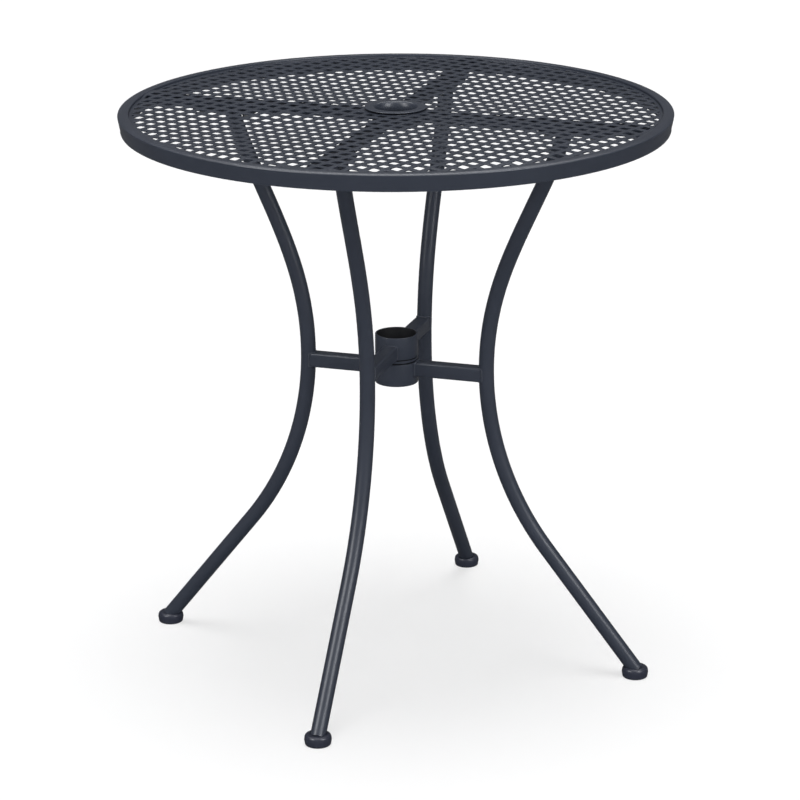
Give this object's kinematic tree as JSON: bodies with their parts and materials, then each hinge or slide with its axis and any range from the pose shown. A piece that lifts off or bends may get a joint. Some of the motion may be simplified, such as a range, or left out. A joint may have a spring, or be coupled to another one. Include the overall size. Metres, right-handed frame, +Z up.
{
  "type": "umbrella table",
  "caption": "Round patio table with a diamond-net steel top, a rolled rim, an umbrella hole, two stacked pole collars and bent tube legs on round foot caps.",
  "frame": {"origin": "on the floor, under the middle of the round top", "axes": "+Z up; the front leg lies along -Y, the back leg along +Y, the left leg along -X and the right leg along +X"},
  "size_m": [0.711, 0.711, 0.7479],
  "materials": {
    "powder_coat": "dark slate-grey powder coat, satin, finely textured, over steel",
    "foot_plastic": "dark grey moulded plastic, satin",
    "zinc_steel": "zinc-plated steel, satin"
  },
  "bodies": {
    "root": {"rim_ring": "powder_coat", "mesh_panel": "powder_coat", "umbrella_flange": "powder_coat", "umbrella_sleeve": "powder_coat", "upper_collar": "powder_coat", "lower_collar": "powder_coat", "collar_spacer": "powder_coat", "top_arm_front": "powder_coat", "leg_front": "powder_coat", "leg_plate_front": "powder_coat", "stretcher_front": "powder_coat", "foot_front": "foot_plastic", "bolt_front_inner": "zinc_steel", "washer_front_inner": "zinc_steel", "nut_front_inner": "zinc_steel", "bolt_front_outer": "zinc_steel", "washer_front_outer": "zinc_steel", "nut_front_outer": "zinc_steel", "top_arm_right": "powder_coat", "leg_right": "powder_coat", "leg_plate_right": "powder_coat", "stretcher_right": "powder_coat", "foot_right": "foot_plastic", "bolt_right_inner": "zinc_steel", "washer_right_inner": "zinc_steel", "nut_right_inner": "zinc_steel", "bolt_right_outer": "zinc_steel", "washer_right_outer": "zinc_steel", "nut_right_outer": "zinc_steel", "top_arm_back": "powder_coat", "leg_back": "powder_coat", "leg_plate_back": "powder_coat", "stretcher_back": "powder_coat", "foot_back": "foot_plastic", "bolt_back_inner": "zinc_steel", "washer_back_inner": "zinc_steel", "nut_back_inner": "zinc_steel", "bolt_back_outer": "zinc_steel", "washer_back_outer": "zinc_steel", "nut_back_outer": "zinc_steel", "top_arm_left": "powder_coat", "leg_left": "powder_coat", "leg_plate_left": "powder_coat", "stretcher_left": "powder_coat", "foot_left": "foot_plastic", "bolt_left_inner": "zinc_steel", "washer_left_inner": "zinc_steel", "nut_left_inner": "zinc_steel", "bolt_left_outer": "zinc_steel", "washer_left_outer": "zinc_steel", "nut_left_outer": "zinc_steel"}
  },
  "joints": []
}
